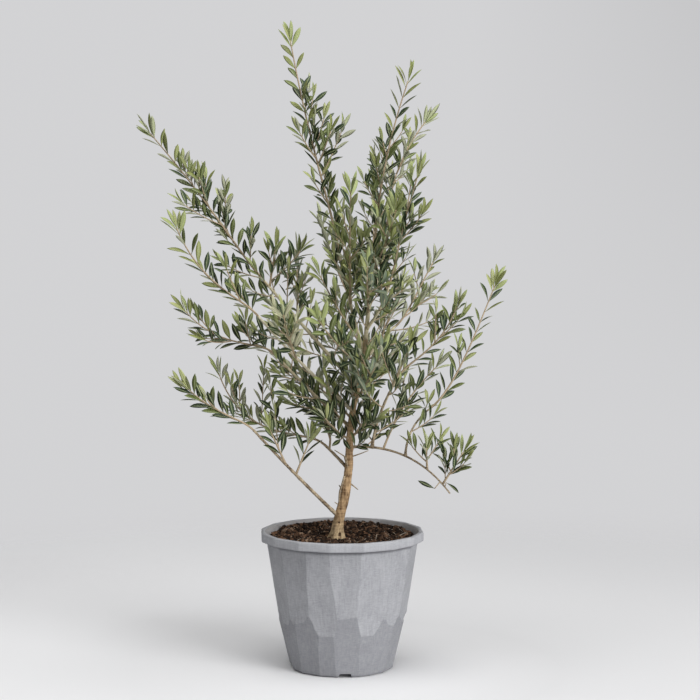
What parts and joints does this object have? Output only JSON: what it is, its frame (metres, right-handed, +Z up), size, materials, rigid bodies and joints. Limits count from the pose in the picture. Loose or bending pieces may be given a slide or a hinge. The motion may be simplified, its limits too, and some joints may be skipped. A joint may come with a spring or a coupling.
{
  "type": "potted olive tree",
  "caption": "Young olive tree with a slender leaning trunk, open crown of long leafy shoots, in a round faceted grey pot filled with bark compost.",
  "frame": {"origin": "middle of the pot's flat underside, on the surface it stands on", "axes": "+Z up along the pot's axis, +X to the right and -Y towards the viewer, where the front drainage channel is"},
  "size_m": [0.6857, 0.4675, 1.1852],
  "materials": {
    "pot": "matt grey, brushed, with a fine stone-like grain",
    "soil": "loose dark bark compost with paler chips and fibres",
    "bark": "thin pale brown bark, greener on young wood",
    "foliage": "leathery grey-green leaves, satin above and dull olive below"
  },
  "bodies": {
    "root": {"pot": "pot", "soil": "soil", "trunk": "bark", "bough_low_left": "bark", "bough_second_left": "bark", "bough_low_right": "bark", "bough_mid_left": "bark", "bough_front_left": "bark", "bough_upper_left": "bark", "bough_outer_right": "bark", "bough_left_leader": "bark", "bough_right_leader": "bark", "bough_front_right": "bark", "bough_back_right": "bark", "bough_right_riser": "bark", "bough_right_climber": "bark", "foliage_low_left": "foliage", "foliage_low_left_inner": "foliage", "foliage_low_left_riser": "foliage", "foliage_second_left": "foliage", "foliage_second_inner": "foliage", "foliage_upper_left": "foliage", "foliage_upper_left_top": "foliage", "foliage_upper_left_back": "foliage", "foliage_front_left": "foliage", "foliage_front_left_inner": "foliage", "foliage_mid_left": "foliage", "foliage_left_leader": "foliage", "foliage_left_leader_front": "foliage", "foliage_centre_front": "foliage", "foliage_right_leader": "foliage", "foliage_back_right": "foliage", "foliage_front_right": "foliage", "foliage_outer_right": "foliage", "foliage_outer_right_inner": "foliage", "foliage_low_right_tip": "foliage", "foliage_low_right_inner": "foliage", "foliage_right_riser": "foliage", "foliage_right_riser_inner": "foliage", "foliage_right_climber": "foliage", "foliage_right_back": "foliage", "foliage_trunk_left": "foliage", "foliage_trunk_right": "foliage", "foliage_front_low": "foliage", "foliage_front_high": "foliage", "foliage_front_mid": "foliage", "foliage_front_top": "foliage", "foliage_back_mid": "foliage", "foliage_back_left": "foliage", "foliage_back_low": "foliage", "foliage_back_top_left": "foliage", "foliage_back_top_right": "foliage"}
  },
  "joints": []
}
